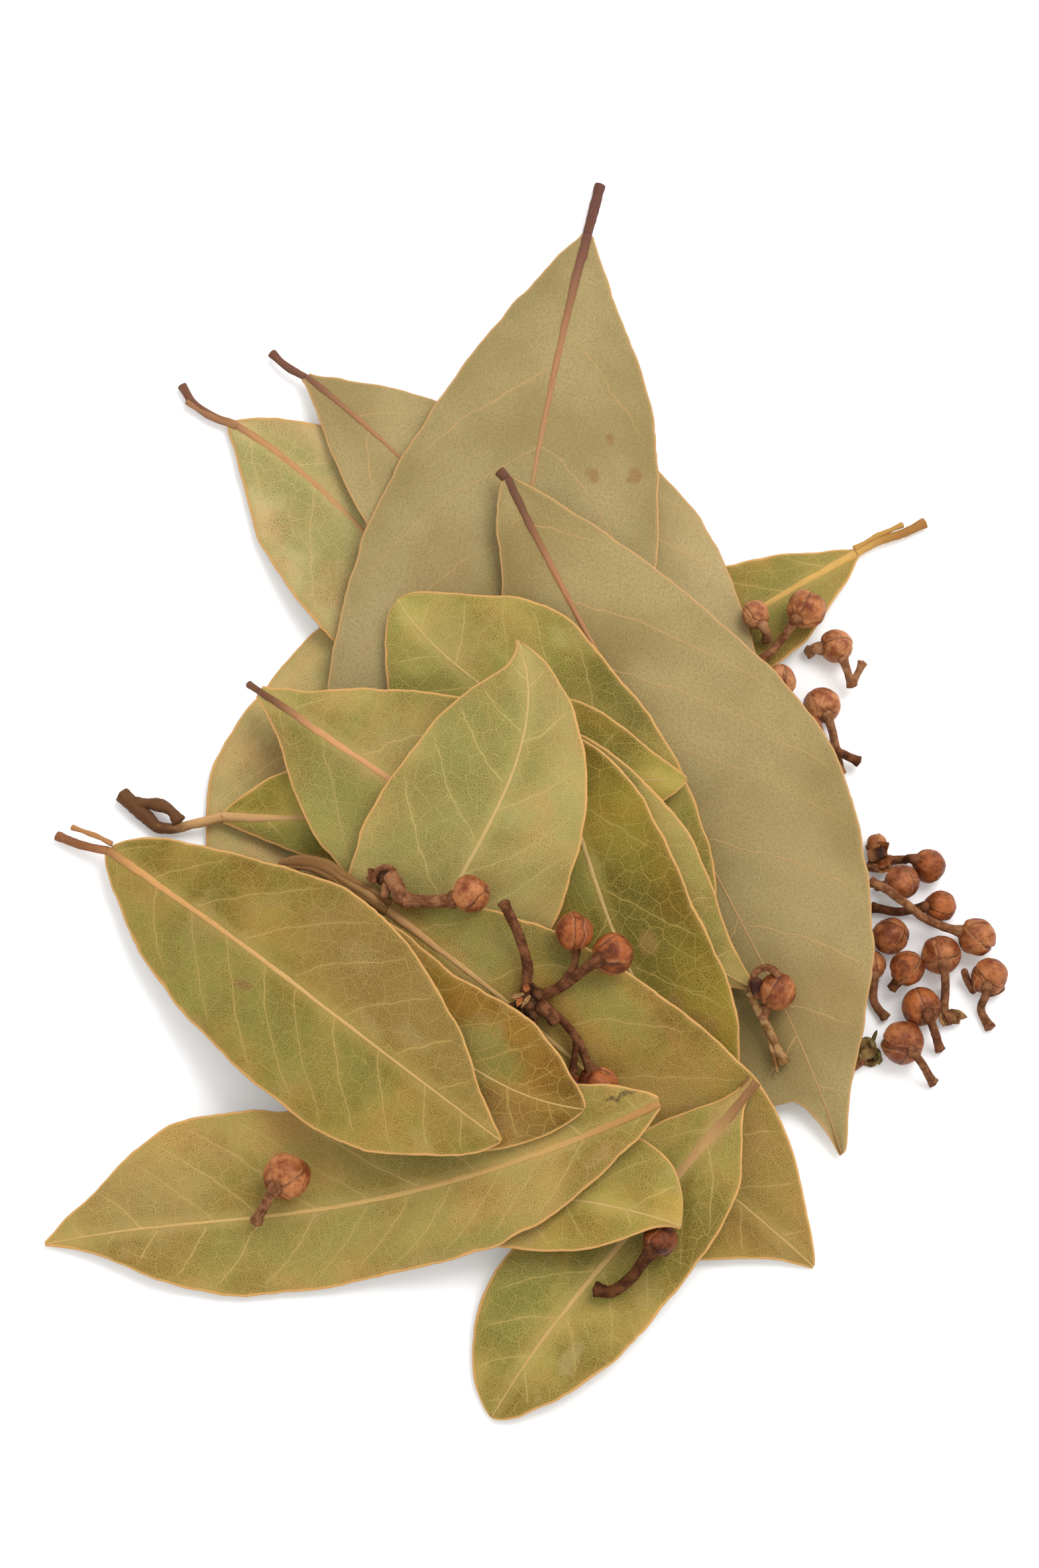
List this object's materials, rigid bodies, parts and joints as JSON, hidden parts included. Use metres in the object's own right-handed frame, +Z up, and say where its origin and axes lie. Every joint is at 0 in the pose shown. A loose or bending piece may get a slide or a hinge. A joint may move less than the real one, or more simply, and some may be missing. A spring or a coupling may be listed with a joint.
{
  "type": "heap of dried bay leaves",
  "caption": "Low loose heap of overlapping dried bay leaves, some face up and some face down, with round brown bay flower buds and their stalks on it and beside it.",
  "frame": {"origin": "on the surface that the heap lies on, under the middle of its bounding box", "axes": "+Z up, +Y away from the viewer along the heap's longest extent, +X to the viewer's right"},
  "size_m": [0.1096, 0.1482, 0.0199],
  "materials": {
    "leaf_upper": "dry leaf, smooth upper side, olive green with fine pale veins",
    "leaf_under": "dry leaf, matt under side, khaki with a brown midrib",
    "bud": "dry, matt, slightly rough, reddish brown"
  },
  "bodies": {
    "root": {"leaf_g": "leaf_upper", "leaf_a": "leaf_upper", "leaf_b": "leaf_under", "leaf_r": "leaf_upper", "leaf_d": "leaf_under", "leaf_c": "leaf_under", "leaf_e": "leaf_under", "leaf_f": "leaf_upper", "leaf_p": "leaf_upper", "leaf_i": "leaf_upper", "leaf_j": "leaf_upper", "leaf_h": "leaf_upper", "leaf_m": "leaf_upper", "leaf_t": "leaf_upper", "leaf_s": "leaf_upper", "leaf_q": "leaf_upper", "leaf_o": "leaf_upper", "leaf_l": "leaf_upper", "bud_u1": "bud", "bud_u2": "bud", "bud_u3": "bud", "stem_u4": "bud", "bud_u5": "bud", "bud_u6": "bud", "bud_u7": "bud", "bud_v1": "bud", "bud_v2": "bud", "stem_v3": "bud", "bud_v4": "bud", "bud_v5": "bud", "bud_v6": "bud", "bud_v7": "bud", "bud_v8": "bud", "bud_v9": "bud", "bud_v10": "bud", "bud_v11": "bud", "bud_v12": "bud", "bud_v13": "bud", "twig_w1": "bud", "bud_w2": "bud", "bud_w3": "bud", "bud_w4": "bud", "bud_w5": "bud"}
  },
  "joints": []
}
